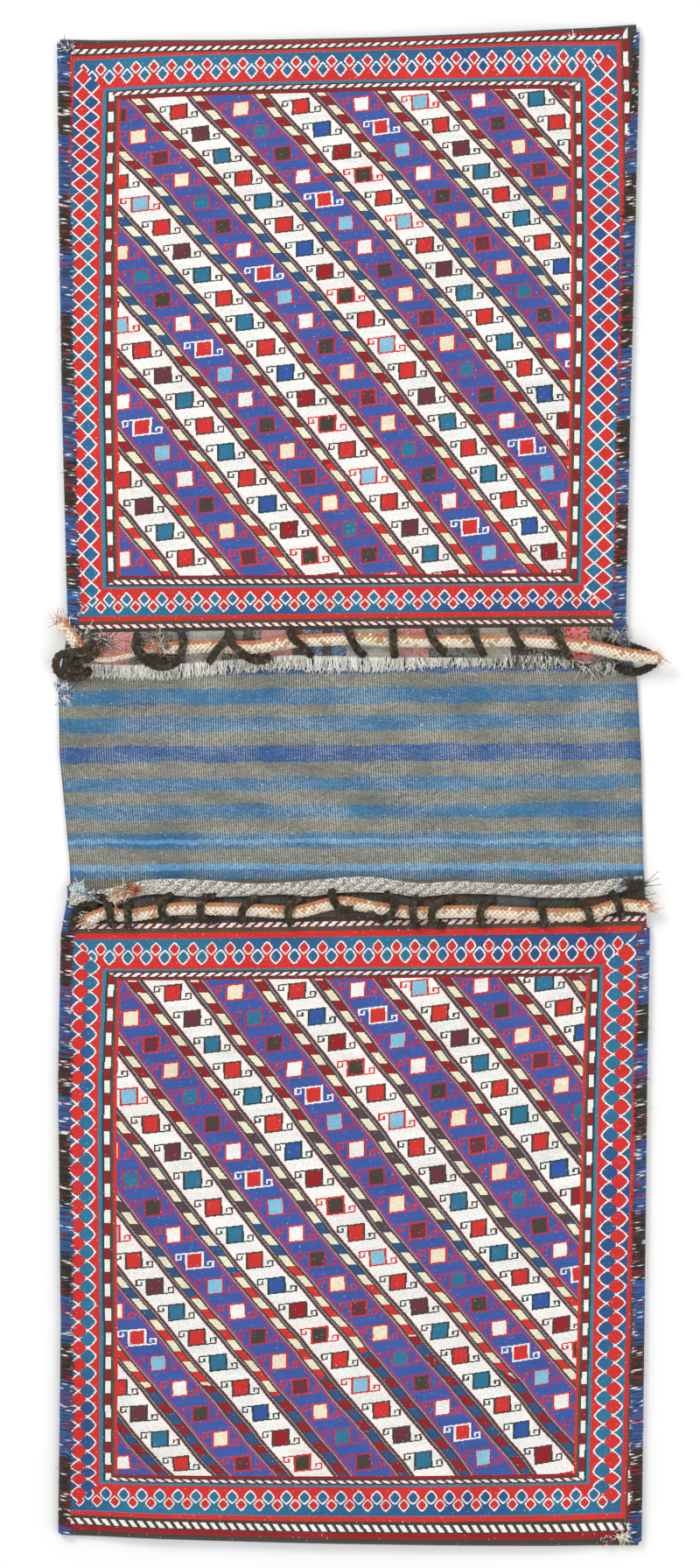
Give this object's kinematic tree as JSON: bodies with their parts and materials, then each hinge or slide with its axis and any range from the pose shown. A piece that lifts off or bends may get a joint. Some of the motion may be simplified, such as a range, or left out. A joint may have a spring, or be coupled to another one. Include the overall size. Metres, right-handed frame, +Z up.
{
  "type": "kilim saddle bag",
  "caption": "Long flat-woven double saddle bag with patterned pocket faces, a striped bridge and loop-and-rope closures.",
  "frame": {"origin": "on the ground under the middle of the bag as it lies flat", "axes": "+Y along the bag from the lower pocket to the upper pocket, +X across it, +Z up out of the pocket faces"},
  "size_m": [0.5341, 1.336, 0.0353],
  "materials": {
    "woven_cloth": "wool soumak and plain weave, matt",
    "overcast_yarn": "wrapped wool yarn, matt",
    "braided_rope": "braided wool and cotton cord, matt",
    "goat_hair_loop": "plaited goat hair, coarse and matt"
  },
  "bodies": {
    "root": {"woven_cloth": "woven_cloth", "seam_upper_left": "overcast_yarn", "seam_upper_right": "overcast_yarn", "seam_lower_left": "overcast_yarn", "seam_lower_right": "overcast_yarn", "loop_upper_01": "goat_hair_loop", "loop_upper_02": "goat_hair_loop", "loop_upper_03": "goat_hair_loop", "loop_upper_04": "goat_hair_loop", "loop_upper_05": "goat_hair_loop", "loop_upper_06": "goat_hair_loop", "loop_upper_07": "goat_hair_loop", "loop_upper_08": "goat_hair_loop", "loop_upper_09": "goat_hair_loop", "loop_lower_01": "goat_hair_loop", "loop_lower_02": "goat_hair_loop", "loop_lower_03": "goat_hair_loop", "loop_lower_04": "goat_hair_loop", "loop_lower_05": "goat_hair_loop", "loop_lower_06": "goat_hair_loop", "loop_lower_07": "goat_hair_loop", "loop_lower_08": "goat_hair_loop", "loop_lower_09": "goat_hair_loop", "loop_lower_10": "goat_hair_loop", "loop_lower_11": "goat_hair_loop", "loop_lower_12": "goat_hair_loop", "loop_lower_13": "goat_hair_loop", "loop_lower_14": "goat_hair_loop", "loop_lower_15": "goat_hair_loop", "slack_loop_upper_left": "goat_hair_loop", "slack_loop_upper_second": "goat_hair_loop", "slack_loop_upper_right": "goat_hair_loop", "lacing_rope_upper": "braided_rope", "lacing_rope_lower": "braided_rope"}
  },
  "joints": []
}
